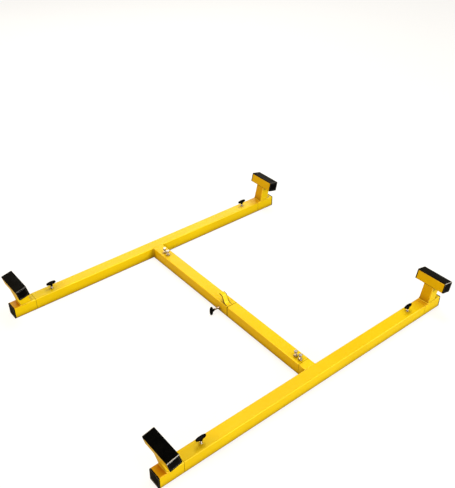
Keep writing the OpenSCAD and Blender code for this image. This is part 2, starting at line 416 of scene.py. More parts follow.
def near_mask(tree, axis, place, half, reach):
    """1 within half of a place along an axis, fading out over a further reach."""
    off = math_node(tree, "ABSOLUTE", math_node(tree, "SUBTRACT", place_along(tree, axis), place))
    return remap(tree, off, half + reach, half)


def post_shadow_mask(tree, side):
    """Painted shadow of a post: 1 on the top of a bar at the left of a post's foot, fading out
    along the bar. The side is -1 for a left-hand post and 1 for a right-hand one."""
    low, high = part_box("near_right_post")
    half = (high.y - low.y) / 2 / HEAD_UP.z
    middle = side * (low.x + half)
    along = place_along(tree, "X")
    near = math_node(tree, "MULTIPLY", math_node(tree, "LESS_THAN", along, middle),
                     remap(tree, along, middle - half - POST_SHADOW_REACH, middle - half))
    return math_node(tree, "MULTIPLY", near, facing_mask(tree, (0, 0, 1)))


def laid_over(tree, colour, mask, tone, strength):
    """A colour with another one over it where a mask is 1."""
    return mix_colour(tree, math_node(tree, "MULTIPLY", mask, strength), colour, tone)


def stain_or_shade(coat, mask, tone, strength):
    """Powder coat with a further stain or painted shade where a mask is 1."""
    material, tree, shader, colour = coat
    colour = laid_over(tree, colour, mask, tone, strength)
    tree.links.new(colour, shader.inputs["Base Color"])
    return material, tree, shader, colour


def powder_coat(name, stains_and_shades=()):
    """Yellow powder coat: slow drifts of tone, fine orange peel, a painted highlight on edges, and
    painted shade on the underside, in corners and along the floor. Each further stain or painted
    shade is the way it faces, its colour and its strength. Returns the material, its tree, its
    shader and its colour."""
    material, tree, shader = new_material(name)
    drift = remap(tree, noise(tree, 7, 2), 0.3, 0.7)
    speckle = remap(tree, noise(tree, 1600, 1), 0.62, 0.74)
    # Painted highlight: a paler yellow on round edges
    layers = [(edge_mask(tree), EDGE_HIGHLIGHT_YELLOW, 0.6),
              (speckle, SPECK_AND_SHADE_YELLOW, 0.5),
              # Painted shade: browner on faces that look down
              (facing_mask(tree, (0, 0, -1)), UNDERSIDE_SHADE, 0.8),
              # Painted shade: brown in corners that the occlusion node finds
              (crevice_mask(tree, CREVICE_REACH), CREVICE_SHADE, 0.75),
              # Painted shade: brown along the lowest edge, by the floor
              (low_edge_mask(tree), LOW_EDGE_SHADE, 0.6)]
    layers += [(facing_mask(tree, axis, NARROW), tone, strength)
               for axis, tone, strength in stains_and_shades]
    colour = mix_colour(tree, drift, DEEP_YELLOW, LIGHT_YELLOW)
    for mask, tone, strength in layers:
        colour = laid_over(tree, colour, mask, tone, strength)
    tree.links.new(colour, shader.inputs["Base Color"])
    tree.links.new(remap(tree, noise(tree, 55, 3), 0.3, 0.7, 0.28, 0.40),
                   shader.inputs["Roughness"])
    shader.inputs["Specular IOR Level"].default_value = 0.42
    shader.inputs["Specular Tint"].default_value = (1.0, 0.72, 0.10, 1)
    bump(tree, shader, noise(tree, 620, 2), 0.12 * MM, 0.5)
    bump(tree, shader, noise(tree, 2600, 1), 0.03 * MM, 0.4)
    return material, tree, shader, colour


def worn_slide(name, stretch):
    """Powder coat with rub marks along the way that the tube slides."""
    material, tree, shader, colour = powder_coat(name)
    streaks = remap(tree, noise(tree, 1, 4, stretch), 0.57, 0.66)
    patches = remap(tree, noise(tree, 14, 2), 0.42, 0.62)
    worn = math_node(tree, "MULTIPLY", streaks, patches)
    tree.links.new(laid_over(tree, colour, worn, BARE_STEEL, 0.7), shader.inputs["Base Color"])
    tree.links.new(math_node(tree, "MULTIPLY", worn, 0.8), shader.inputs["Metallic"])
    bump(tree, shader, streaks, 0.05 * MM, 0.5)
    return material


def zinc():
    """Zinc plate with faint mauve and straw tints, fine turning marks and painted shade in its
    corners.
    """
    material, tree, shader = new_material("zinc")
    tint = remap(tree, noise(tree, 90, 2), 0.35, 0.65)
    colour = mix_colour(tree, tint, ZINC_MAUVE, ZINC_STRAW)
    # Painted shade: darker where the occlusion node finds a corner
    colour = laid_over(tree, colour, crevice_mask(tree, ZINC_CREVICE_REACH), ZINC_CORNER_SHADE, 0.8)
    tree.links.new(colour, shader.inputs["Base Color"])
    tree.links.new(remap(tree, noise(tree, 700, 3), 0.3, 0.7, 0.16, 0.34),
                   shader.inputs["Roughness"])
    shader.inputs["Metallic"].default_value = 1.0
    bump(tree, shader, noise(tree, 1, 2, (300, 300, 6000)), 0.02 * MM, 0.5)
    return material


def moulded(name, tone, gloss, grain_scale, grain_height, specular):
    """Black or grey moulded rubber or plastic with a fine grain and a little dust. Gloss is the
    two ends of its roughness."""
    material, tree, shader = new_material(name)
    cloud = remap(tree, noise(tree, 45, 3), 0.3, 0.7)
    dusty = 1.8 * tone + 0.001
    tree.links.new(mix_colour(tree, cloud, (tone,) * 3, (dusty,) * 3), shader.inputs["Base Color"])
    tree.links.new(remap(tree, noise(tree, 260, 2), 0.3, 0.7, *gloss), shader.inputs["Roughness"])
    shader.inputs["Specular IOR Level"].default_value = specular
    bump(tree, shader, noise(tree, grain_scale, 2), grain_height, 0.6)
    return material


def seam_grime(axis):
    """The stains round both ends of a tube that butts on its neighbours along an axis."""
    return [(tuple(way * part for part in axis), GRIME, SEAM_GRIME) for way in (1, -1)]


def bar_yellow(bar, top_shade):
    """A crossbar's coat, with a painted shadow at the left of the right-hand post's foot. Its top
    gets painted shade, a deeper yellow, on the left half."""
    coat = powder_coat("yellow_powder_coat_" + bar, seam_grime((1, 0, 0)))
    tree = coat[1]
    # Painted shade: the left half of the bar's top is laid a deeper yellow
    left_top_shade = math_node(tree, "MULTIPLY", facing_mask(tree, (0, 0, 1)),
                         near_mask(tree, "X", *SHADED_TOP))
    coat = stain_or_shade(coat, left_top_shade, SPECK_AND_SHADE_YELLOW, top_shade)
    # Painted shadow of the right-hand post on the bar's top
    return stain_or_shade(coat, post_shadow_mask(tree, 1), SHADE_ORANGE, POST_SHADOW_STRENGTH)[0]


def spine_yellow():
    """The spine's coat, with grime in its joint, and more of it on the joint's two sides."""
    coat = powder_coat("yellow_powder_coat_spine", seam_grime((0, 1, 0)))
    tree = coat[1]
    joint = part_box("far_spine_tube")[0].y
    at_joint = near_mask(tree, "Y", joint, JOINT_HALF, JOINT_FADE)
    coat = stain_or_shade(coat, at_joint, GRIME, JOINT_GRIME)
    for side in (-1, 1):
        at_side = facing_mask(tree, (side, 0, 0))
        at_side = math_node(tree, "MULTIPLY", at_joint, at_side)
        coat = stain_or_shade(coat, at_side, GRIME, JOINT_SIDE_GRIME)
    return coat[0]


def end_yellows(hand, inward, seam):
    """The coats of an end's tube, post and head: grime where the tube butts inward, the post's
    painted shadow on the tube's top, and painted shade on what the post and head turn inward, most
    at the post's foot.
    """
    label = "yellow_powder_coat_" + hand
    tube = powder_coat(label + "_end", [(inward, GRIME, seam)])
    # Painted shadow of the post on the end tube's top
    tube = stain_or_shade(tube, post_shadow_mask(tube[1], -inward[0]), SHADE_ORANGE, POST_SHADOW_STRENGTH)
    # Painted shade: the post's inward faces are darker, and most near its foot
    post = powder_coat(label + "_post", [(inward, SHADE_ORANGE, POST_INNER_SHADE)])
    tree = post[1]
    low = remap(tree, place_along(tree, "Z"), BAR_TOP + POST_SHADE_HEIGHT, BAR_TOP)
    low = math_node(tree, "MULTIPLY", low, facing_mask(tree, inward, NARROW))
    post = stain_or_shade(post, low, CREVICE_SHADE, POST_FOOT_SHADE)
    # Painted shade on the head's inward faces
    head = powder_coat(label + "_head", [(inward, SHADE_ORANGE, HEAD_INNER_SHADE)])
    return {"end_tube": tube[0], "post": post[0], "head_tube": head[0]}


def pad_rubber(end):
    """A pad's rubber. Each pad has its own grey and shine, a painted sheen: greyer on pads that
    show more reflection.
    """
    tone, specular = PAD_LIT_TONES[end]
    return moulded("pad_rubber_" + end, tone, MATT, 1900, 0.05 * MM, specular)


yellow = powder_coat("yellow_powder_coat")[0]
bar_coats = {"near": bar_yellow("near", NEAR_TOP_PAINTED_SHADE), "far": bar_yellow("far", 0.0)}
spine_coat = spine_yellow()
end_coats = {"left": end_yellows("left", (1, 0, 0), SEAM_GRIME),
             "right": end_yellows("right", (-1, 0, 0), RIGHT_SEAM_GRIME)}
# A darker band along the hook's edges, on faces that look up, forward and left
edge_band_coat = powder_coat("yellow_powder_coat_dark_edge_band", [((0, 0, 1), GRIME, HOOK_EDGE_DARKENING),
                                                         ((0, -1, 0), GRIME, HOOK_EDGE_DARKENING),
                                                         ((-1, 0, 0), GRIME, SEAM_GRIME)])[0]
slide_x = worn_slide("slide_powder_coat_x", (5, 420, 420))
slide_y = worn_slide("slide_powder_coat_y", (420, 5, 420))
steel = zinc()
pad_rubbers = {end: pad_rubber(end) for end in ENDS}
# Painted highlight: light grey rubber on the near pads' folds, and a fainter one on the far pads'
# folds
fold_highlight_rubber = moulded("pad_rubber_edge", 0.20, RUBBED, 1900, 0.03 * MM, 0.6)
faint_fold_highlight_rubber = moulded("pad_rubber_dull_edge", 0.03, RUBBED, 1900, 0.03 * MM, 0.3)
cap_plastic = moulded("cap_plastic", 0.0008, SATIN, 2400, 0.03 * MM, 0.02)
# Painted highlight: greyer plastic on the caps' round rims and relief
cap_highlight = moulded("cap_plastic_painted_highlight", 0.04, RUBBED, 2400, 0.02 * MM, 0.5)
knob_plastic = moulded("knob_plastic", 0.0006, GLOSSY, 1500, 0.02 * MM, 0.03)


# Frame tubes, which keep their CAD shape

def finish_tubes():
    """Powder coat on the CAD tubes, with a small chamfer where one tube butts on the next. Flat
    faces are merged first, so that only real edges are chamfered."""
    for name, node in frame["nodes"].items():
        if not name.endswith(("tube", "collar", "post")):
            continue
        if name.endswith(("slide_tube", "stub_tube")):
            material = slide_y if name.startswith(("spine", "near_stub", "far_stub")) else slide_x
        elif name.endswith("crossbar_tube"):
            material = bar_coats[name.split("_")[0]]
        elif name.endswith(("spine_tube", "collar")):
            material = spine_coat
        else:
            hand, kind = name.split("_", 2)[1:]
            material = end_coats[hand][kind]
        node.data.materials.clear()
        node.data.materials.append(material)
        weld = node.modifiers.new("weld", "WELD")
        weld.merge_threshold = 0.01 * MM
        flat = node.modifiers.new("flat", "DECIMATE")
        flat.decimate_type = "DISSOLVE"
        flat.angle_limit = math.radians(1)
        chamfer = node.modifiers.new("seam", "BEVEL")
        chamfer.width = SEAM_CHAMFER
        chamfer.segments = 2
        chamfer.limit_method = "ANGLE"
        chamfer.angle_limit = math.radians(60)
        chamfer.use_clamp_overlap = False
        chamfer.harden_normals = True


# Heads

class Head:
    """Where an end's head is: its size and the leaning frame at the middle of its pad's face."""

    def __init__(self, end):
        mount = next(m for m in frame["record"]["mounts"] if m["name"] == end + "_pad_face")
        self.up = Vector(mount["axis"]).normalized()
        self.across = Vector((0, 1, 0)).cross(self.up)
        self.face = Vector(mount["pos_m"])
        self.length, self.pad_width, self.pad_height = self.sizes_of(end + "_head_pad", 0)
        self.tube_length, self.width, self.height = self.sizes_of(end + "_head_tube", CORNER_RADIUS)
        low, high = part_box(end + "_post")
        self.post = high.y - low.y

    def sizes_of(self, node, corner):
        """Length, width and height of a leaning piece, from its upright box."""
        low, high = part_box(node)
        sine, cosine = abs(self.up.x), self.up.z
        spread = high - low
        x, z = spread.x - 2 * corner, spread.z - 2 * corner
        square = cosine ** 2 - sine ** 2
        width = (x * cosine - z * sine) / square + 2 * corner
        return spread.y, width, (z * cosine - x * sine) / square + 2 * corner

    def place(self, down):
        """The leaning frame at a depth below the pad's face."""
        return frame_matrix(self.face - down * self.up, self.across, Vector((0, 1, 0)), self.up)


def pad_section(width, height, edge, steps=6):
    """Cross-section of a pad from its flat underside at 0 up to its round top edges."""
    edge = min(edge, height * 0.9)
    points = [(-width / 2, 0), (width / 2, 0)]
    for side in (1, -1):
        for step in range(steps + 1):
            turn = step / steps if side > 0 else 1 - step / steps
            angle = turn * math.pi / 2
            x = side * (width / 2 - edge + edge * math.cos(angle))
            points.append((x, height - edge + edge * math.sin(angle)))
    return points


def groove_depth(y):
    """How far the pad's face is cut at a place along it: flat ribs with narrow round grooves."""
    off_rib = abs(y / RIB_PITCH - round(y / RIB_PITCH))
    share = min(max((off_rib - RIB_HALF) / GROOVE_SIDE, 0), 1)
    return RIB_DEPTH * share * share * (3 - 2 * share)


def pad_stations(length):
    """Places along a pad where its section changes: its round ends and each side of a groove."""
    half = length / 2
    ends = [half - PAD_EDGE * (1 - math.cos(i / 5 * math.pi / 2)) for i in range(6)]
    ribs = int(half / RIB_PITCH)
    sides = [RIB_HALF + share * GROOVE_SIDE for share in (0, 0.5, 1)]
    inner = [(n + off) * RIB_PITCH for n in range(-ribs, ribs + 1)
             for off in [-side for side in sides] + [0] + sides]
    limit = half - PAD_EDGE
    return sorted({-y for y in ends} | {y for y in inner if abs(y) < limit} | set(ends))


def ribbed_pad(end):
    """A rubber pad whose narrow grooves run across the head."""
    head = Head(end)
    rings = []
    for y in pad_stations(head.length):
        into = min(head.length / 2 - abs(y), PAD_EDGE)
        loss = PAD_EDGE - math.sqrt(max(PAD_EDGE ** 2 - (PAD_EDGE - into) ** 2, 0))
        cut = max(groove_depth(y), loss)
        width = head.pad_width - 2 * min(cut, 0.6 * PAD_EDGE)
        rings.append([(x, y, z) for x, z in pad_section(width, head.pad_height - cut, PAD_EDGE)])
    mesh = mesh_of(end + "_ribbed_pad", [skin(rings)], head.place(head.pad_height))
    node = end + "_head_pad"
    pad = piece_of(mesh, pad_rubbers[end], body_of(node), [node])

    def on_fold(face):
        at_end = abs(face.center.y - head.face.y) > head.length / 2 - PAD_EDGE
        return at_end and 0.15 < abs(face.normal.y) < 0.97

    # Painted highlight on the fold at each end of the pad
    rub_edges(pad, fold_highlight_rubber if end.startswith("near") else faint_fold_highlight_rubber, on_fold)


def cap_rings(width, height, flange):
    """Rings of a push-in cap that faces +Z, from the plug's end over the flange to the panel.
    Width runs along X and height along Y."""
    plug = WALL + CAP_FIT
    levels = [(plug + 0.5 * MM, -CAP_PLUG, 1 * MM), (plug, -CAP_PLUG + 1 * MM, 1.5 * MM),
              (plug, 0, 2 * MM), (0, 0, CORNER_RADIUS)]
    for step in range(5):
        angle = step / 4 * math.pi / 2
        inset = CAP_EDGE * (1 - math.cos(angle))
        levels.append((inset, flange - CAP_EDGE + CAP_EDGE * math.sin(angle),
                       CORNER_RADIUS - inset))
    panel = min(width, height) / 2 - CAP_RIM
    levels += [(CAP_RIM, flange, 3.2 * MM), (CAP_RIM + 0.25 * MM, flange - 0.2 * MM, 3 * MM),
               (CAP_RIM + 0.6 * MM, flange - CAP_RECESS, 2.6 * MM),
               (CAP_RIM + panel * 0.25, flange - CAP_RECESS + 0.2 * MM, 4 * MM),
               (CAP_RIM + panel * 0.65, flange - CAP_RECESS + 0.3 * MM, 3 * MM)]
    return [[(x, y, z) for x, y in rounded_rectangle(width - 2 * inset, height - 2 * inset, r)]
            for inset, z, r in levels]


def head_caps(end):
    """The two caps that close a head's tube."""
    head = Head(end)
    flange = (head.length - head.tube_length) / 2
    parts = []
    down = head.pad_height + head.height / 2
    for way in (-1, 1):
        origin = head.face - down * head.up
        origin.y += way * (head.length / 2 - flange)
        facing = Vector((0, way, 0))
        place = frame_matrix(origin, head.up.cross(facing), head.up, facing)
        points, faces = skin(cap_rings(head.width, head.height, flange))
        parts.append(([place @ Vector(point) for point in points], faces))
    node = end + "_head_caps"
    mesh = mesh_of(end + "_moulded_head_caps", parts)
    caps = piece_of(mesh, cap_plastic, body_of(node), [node])
    # Painted highlight on the caps' rims
    rub_edges(caps, cap_highlight, lambda face: 0.15 < abs(face.normal.y) < 0.98)


def end_cap(end):
    """The cap that closes the outer end of a crossbar."""
    node = end + "_end_cap"
    low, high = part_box(end + "_end_tube")
    cap_low, cap_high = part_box(node)
    right = low.x > 0
    flange = cap_high.x - high.x if right else low.x - cap_low.x
    origin = Vector((high.x if right else low.x, (low.y + high.y) / 2, (low.z + high.z) / 2))
    up = Vector((0, 0, 1))
    facing = Vector((1 if right else -1, 0, 0))
    place = frame_matrix(origin, up.cross(facing), up, facing)
    width = high.z - low.z
    mesh = mesh_of(end + "_moulded_end_cap", [skin(cap_rings(width, width, flange))], place)
    cap = piece_of(mesh, cap_plastic, body_of(node), [node])
    # Painted highlight on the cap's rim
    rub_edges(cap, cap_highlight, lambda face: 0.15 < abs(face.normal.x) < 0.98)


# Screws, bolts and nuts

def thread_rings(bottom, top, radius, lead=0.8 * MM):
    """Rings of a right-handed threaded rod along Z, with a short taper at its lower end."""
    per_turn = 6
    count = int((top - bottom) / THREAD_PITCH * per_turn)
    rings = []
    for i in range(count + 1):
        z = bottom + (top - bottom) * i / count
        full = radius - max(0, lead - (z - bottom)) * 0.8

        def radius_at(angle, z=z, full=full):
            phase = z / THREAD_PITCH - angle / (2 * math.pi)
            return full - THREAD_DEPTH * abs(2 * (phase - math.floor(phase)) - 1) ** 1.2

        rings.append(round_ring(radius_at, lambda angle, z=z: z, 30))
    return rings


def hexagon(flats):
    """A function of the angle that gives a hexagon's radius, with a corner on X."""
    return lambda angle: flats / 2 / math.cos(angle % (math.pi / 3) - math.pi / 6)


def bolt_head_rings(flats, bottom, height):
    """A hexagon head with a chamfered top that is slightly dished."""
    outer = hexagon(flats)
    flat_edge = flats / 2 * NUT_FACE
    top = bottom + height
    return [
        round_ring(lambda a: flat_edge, lambda a: bottom),
        round_ring(outer, lambda a: bottom + 0.1 * MM),
        round_ring(outer, lambda a: top - (outer(a) - flat_edge) * NUT_CHAMFER),
        round_ring(lambda a: flat_edge, lambda a: top),
        round_ring(lambda a: flat_edge * 0.72, lambda a: top),
        round_ring(lambda a: flat_edge * 0.66, lambda a: top - 0.25 * MM),
    ]


def nut_rings(flats, bore, bottom, height):
    """A hexagon nut, chamfered on both sides, as a closed loop of rings."""
    outer = hexagon(flats)
    flat_edge = flats / 2 * NUT_FACE
    top = bottom + height
    lead = 0.5 * MM
    return [
        round_ring(lambda a: flat_edge, lambda a: bottom),
        round_ring(outer, lambda a: bottom + (outer(a) - flat_edge) * NUT_CHAMFER),
        round_ring(outer, lambda a: top - (outer(a) - flat_edge) * NUT_CHAMFER),
        round_ring(lambda a: flat_edge, lambda a: top),
        round_ring(lambda a: bore + lead, lambda a: top),
        round_ring(lambda a: bore, lambda a: top - lead),
        round_ring(lambda a: bore, lambda a: bottom + lead),
        round_ring(lambda a: bore + lead, lambda a: bottom),
    ]


def moved(rings, offset):
    """Rings shifted by an offset."""
    return [[tuple(Vector(point) + offset) for point in ring] for ring in rings]


def set_bolts(where, shank):
    """A pair of set bolts with hexagon heads and threaded shanks, and their jam nuts. The shank
    is its radius."""
    bolts, nuts = where + "_set_bolts", where + "_jam_nuts"
    low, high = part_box(bolts)
    nut_low, nut_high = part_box(nuts)
    flats = (high.x - low.x) * math.cos(math.pi / 6)
    middle = (low.x + high.x) / 2
    bolt_parts, nut_parts = [], []
    for y in (low.y + flats / 2, high.y - flats / 2):
        offset = Vector((middle, y, 0))
        head_bottom = high.z - HEAD_HEIGHT
        bolt_parts.append(skin(moved(bolt_head_rings(flats, head_bottom, HEAD_HEIGHT), offset)))
        bolt_parts.append(skin(moved(thread_rings(low.z, head_bottom + 0.2 * MM, shank), offset)))
        nut = nut_rings(flats, shank - THREAD_DEPTH / 2, nut_low.z, nut_high.z - nut_low.z)
        nut_parts.append(skin(moved(nut, offset), loop=True))
    for node, name, parts in ((bolts, "_hex_bolts", bolt_parts),
                              (nuts, "_hex_jam_nuts", nut_parts)):
        mesh = mesh_of(where + name, parts, smooth_degrees=28)
        piece_of(mesh, steel, body_of(node), [node])


class ThumbScrew:
    """A thumb screw's axis and its heights, measured outward from the tube's face."""

    def __init__(self, tag):
        bush_low, bush_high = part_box(tag + "_bush")
        middle = (bush_low + bush_high) / 2
        if tag == "spine":
            self.out = Vector((-1, 0, 0))
            self.wing = Vector((0, 0, 1))
            middle.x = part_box("far_spine_tube")[0].x
        else:
            self.out = Vector((0, 0, 1))
            self.wing = Vector((1, 0, 0))
            middle.z = BAR_TOP
        self.base = middle
        self.shank = self.span(tag + "_screw", self.out)
        self.knob = self.span(tag + "_knob", self.out)
        self.bush = self.span(tag + "_bush", self.out)
        wing = self.span(tag + "_knob", self.wing)
        self.knob_width = wing[1] - wing[0]
        side = self.span(tag + "_screw", self.wing)
        self.radius = (side[1] - side[0]) / 2
        side = self.span(tag + "_bush", self.wing)
        self.bush_radius = (side[1] - side[0]) / 2

    def span(self, node, along):
        """Where a node starts and ends along a direction from the tube's face."""
        values = [(corner - self.base).dot(along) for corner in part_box(node)]
        return min(values), max(values)

    def place(self):
        """The screw's own frame: Z is outward and X is along the wings."""
        return frame_matrix(self.base, self.wing, self.out.cross(self.wing), self.out)


def threaded_shank(tag):
    """The threaded rod of a thumb screw."""
    screw = ThumbScrew(tag)
    rings = thread_rings(screw.shank[0], screw.shank[1], screw.radius)
    mesh = mesh_of(tag + "_threaded_shank", [skin(rings)], screw.place(), 28)
    node = tag + "_screw"
    piece_of(mesh, steel, body_of(node), [node])


def threaded_bush(tag):
    """The bush that the thumb screw runs in, with a round flange and a countersink."""
    screw = ThumbScrew(tag)
    bore = screw.radius - THREAD_DEPTH / 2
    flange, sleeve = screw.bush_radius, screw.bush_radius - SLEEVE_STEP
    bottom, top = screw.bush
    levels = [(bore, bottom), (sleeve, bottom), (sleeve, 0), (flange, 0), (flange, top - 0.5 * MM),
              (flange - 0.15 * MM, top - 0.15 * MM), (flange - 0.5 * MM, top),
              (screw.radius + 1 * MM, top), (bore, top - 1 * MM)]
    rings = [round_ring(lambda a, r=r: r, lambda a, z=z: z, 40) for r, z in levels]
    mesh = mesh_of(tag + "_threaded_bush", [skin(rings, loop=True)], screw.place(), 32)
    node = tag + "_bush"
    piece_of(mesh, yellow, body_of(node), [node])


def ellipse_ring(half_x, half_y, z, power=2.0, count=40):
    """A ring shaped as an ellipse, squarer with a higher power."""
    ring = []
    for i in range(count):
        angle = 2 * math.pi * i / count
        c, s = math.cos(angle), math.sin(angle)
        x = half_x * math.copysign(abs(c) ** (2 / power), c)
        y = half_y * math.copysign(abs(s) ** (2 / power), s)
        ring.append((x, y, z))
    return ring


def wing_knob_mesh(width, height, thickness, boss_radius):
    """A moulded wing knob: a lens-shaped bar on a short boss. The solids are merged and softened,
    so that they blend as a moulding does."""
    half = WING_HALF_HEIGHT
    short_of_tip = 0.04
    bar = []
    for i in range(WING_STEPS + 1):
        angle = short_of_tip + (math.pi - 2 * short_of_tip) * i / WING_STEPS
        size = math.sin(angle) ** WING_TAPER
        ring = ellipse_ring(thickness / 2 * size, half * size, 0, 2.3)
        bar.append([(-width / 2 * math.cos(angle), y, height - half + z) for y, z, _ in ring])
    # Half sizes and heights of the boss, which widens along the bar as it goes into it
    boss = [ellipse_ring(half_x, half_y, z, 2.4) for half_x, half_y, z in (
        (boss_radius * 0.66, boss_radius * 0.66, 0.2 * MM),
        (boss_radius * 0.80, boss_radius * 0.80, 1.2 * MM),
        (boss_radius * 0.80, boss_radius * 0.80, 0.22 * height),
        (boss_radius * 0.90, boss_radius * 0.80, 0.36 * height),
        (boss_radius * 1.20, thickness * 0.40, 0.50 * height),
        (boss_radius * 1.10, thickness * 0.30, 0.70 * height))]
    rough = mesh_of("rough_knob", [skin(boss), skin(bar)])
    work = bpy.data.objects.new("rough_knob", rough)
    bpy.context.scene.collection.objects.link(work)
    remesh = work.modifiers.new("merge", "REMESH")
    remesh.mode = "VOXEL"
    remesh.voxel_size = KNOB_VOXEL
    soften = work.modifiers.new("soften", "SMOOTH")
    soften.factor = 0.5
    soften.iterations = 7
    bpy.context.view_layer.update()
    final = work.evaluated_get(bpy.context.evaluated_depsgraph_get())
    mesh = bpy.data.meshes.new_from_object(final)
    bpy.data.objects.remove(work)
    for face in mesh.polygons:
        face.use_smooth = True
    return mesh


def wing_knobs():
    """One moulding, placed on each thumb screw."""
    first = ThumbScrew(SCREWS[0])
    low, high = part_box(SCREWS[0] + "_knob")
    height = first.knob[1] - first.knob[0]
    # The boss is the widest part across the wings
    mould = wing_knob_mesh(first.knob_width, height, KNOB_THICKNESS, (high.y - low.y) / 2)
    for tag in SCREWS:
        screw = ThumbScrew(tag)
        mesh = mould.copy()
        mesh.name = tag + "_wing_knob"
        mesh.transform(screw.place() @ Matrix.Translation((0, 0, screw.knob[0])))
        node = tag + "_knob"
        piece_of(mesh, knob_plastic, body_of(node), [node])


# Tie hook

def strap_line():
    """The hook's middle line in side view, as places and directions: foot, bend, rise, bend and
    tip."""
    line = [(Vector((y, HOOK_THICKNESS / 2)), 0.0) for y in (0, HOOK_FOOT)]
    steps = 10

    def bend(radius, start, stop):
        """Turns left for a positive radius and right for a negative one."""
        place = line[-1][0]
        centre = place + radius * Vector((-math.sin(start), math.cos(start)))
        for i in range(1, steps + 1):
            angle = start + (stop - start) * i / steps
            line.append((centre - radius * Vector((-math.sin(angle), math.cos(angle))), angle))

    def straight(length):
        place, angle = line[-1]
        line.append((place + length * Vector((math.cos(angle), math.sin(angle))), angle))

    bend(HOOK_LOW_RADIUS, 0, HOOK_RISE_ANGLE)
    straight(HOOK_RISE)
    bend(-HOOK_TOP_RADIUS, HOOK_RISE_ANGLE, HOOK_TIP_ANGLE)
    straight(HOOK_TIP)
    return line


def strap_section(width, thickness, edge):
    """The strap's cross-section, with points at the inner side of each darker edge band."""
    points = rounded_rectangle(width, thickness, edge, 5)
    quarter = len(points) // 4
    flat = width / 2 - HOOK_DARK_BAND
    top = [(flat, thickness / 2), (-flat, thickness / 2)]
    bottom = [(-flat, -thickness / 2), (flat, -thickness / 2)]
    return points[:quarter] + top + points[quarter:3 * quarter] + bottom + points[3 * quarter:]


def bent_strap():
    """The tie hook as a bent strap with softened edges."""
    low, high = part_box("tie_hook")
    width = high.x - low.x
    middle = (low.x + high.x) / 2
    line = strap_line()
    soft = HOOK_SOFT_END
    first, last = line[0], line[-1]
    along = Vector((math.cos(last[1]), math.sin(last[1])))
    stations = [(first[0], first[1], soft), (first[0] + Vector((soft, 0)), first[1], 0)]
    stations += [(place, angle, 0) for place, angle in line[1:-1]]
    stations += [(last[0] - soft * along, last[1], 0), (last[0], last[1], soft)]
    rings = []
    for place, angle, inset in stations:
        section = strap_section(width - 2 * inset, HOOK_THICKNESS - 2 * inset, HOOK_EDGE - inset)
        rings.append([(middle + x, low.y + place.x - t * math.sin(angle),
                       low.z + place.y + t * math.cos(angle)) for x, t in section])
    mesh = mesh_of("bent_strap_hook", [skin(rings)])
    hook = piece_of(mesh, bar_coats["far"], body_of("tie_hook"),
                    ["tie_hook"])
    # The darker band along each edge of the strap
    rub_edges(hook, edge_band_coat, lambda face: abs(face.center.x - middle) > width / 2 - HOOK_DARK_BAND)


# Weld beads

def walk(corners, closed, step):
    """Evenly spaced points along a path of short straight pieces."""
    pairs = list(zip(corners, corners[1:] + corners[:1] if closed else corners[1:]))
    length = sum((b - a).length for a, b in pairs)
    count = max(4, round(length / step))
    points, walked, target = [], 0.0, 0.0
    spacing = length / count if closed else length / (count - 1)
    for a, b in pairs:
        piece = (b - a).length
        while len(points) < count and target <= walked + piece + 1e-9:
            points.append(a + (b - a) * ((target - walked) / piece if piece else 0))
            target += spacing
        walked += piece
    return points


def bead(corners, normal, radius, closed=True):
    """A weld bead along a path that lies in a plane. It is rippled, and an open one tapers off at
    both ends."""
    points = walk(corners, closed, BEAD_STEP)
    rings = []
    for i, point in enumerate(points):
        if closed:
            along = points[(i + 1) % len(points)] - points[i - 1]
        else:
            along = points[min(i + 1, len(points) - 1)] - points[max(i - 1, 0)]
        side = along.normalized().cross(normal)
        walked = i * BEAD_STEP
        size = radius * (0.94 + 0.08 * math.cos(2 * math.pi * walked / BEAD_RIPPLE))
        if not closed:
            near_end = min(i, len(points) - 1 - i) / 3
            size *= 0.35 + 0.65 * min(1, near_end)
        ring = []
        for k in range(12):
            angle = 2 * math.pi * k / 12
            lag = 0.35 * radius * math.cos(angle) ** 2
            ring.append(point + size * (math.cos(angle) * side + math.sin(angle) * normal)
                        + lag * along.normalized())
        rings.append(ring)
    return skin(rings, loop=closed)


def spine_welds():
    """The bead round the spine where it meets each crossbar. It stays clear of the floor."""
    for node, name, side in (("near_stub_collar", "near_spine_weld", 0),
                             ("far_spine_tube", "far_spine_weld", 1)):
        low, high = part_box(node)
        y = (low, high)[side].y
        bottom, top = low.z + SPINE_BEAD + FLOOR_GAP, high.z - BEAD_INSET
        width = high.x - low.x
        corners = [Vector((x, y, (bottom + top) / 2 + z))
                   for x, z in rounded_rectangle(width - 1 * MM, top - bottom, CORNER_RADIUS)]
        mesh = mesh_of(name, [bead(corners, Vector((0, 1, 0)), SPINE_BEAD)])
        piece_of(mesh, yellow, body_of(node))


def post_welds(end):
    """Beads round the foot of a post, and along its two sides under the head."""
    head = Head(end)
    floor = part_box(end + "_end_tube")[1].z
    reach = (head.face.z - floor) / head.up.z
    foot = head.face - reach * head.up
    length = head.post / head.up.z
    corners = [foot + Vector((x, y, 0.2 * MM))
               for x, y in rounded_rectangle(length + 0.8 * MM, head.post + 0.8 * MM,
                                             CORNER_RADIUS)]
    parts = [bead(corners, Vector((0, 0, 1)), POST_BEAD)]
    under = head.face - (head.pad_height + head.height + BEAD_CLEARANCE) * head.up
    for way in (-1, 1):
        side = Vector((0, way * (head.post / 2 + BEAD_CLEARANCE), 0))
        reach = (head.post / 2 - CORNER_RADIUS) * head.across
        parts.append(bead([under + side - reach, under + side + reach], head.up, POST_BEAD, False))
    mesh = mesh_of(end + "_post_welds", parts)
    piece_of(mesh, yellow, body_of(end + "_post"))


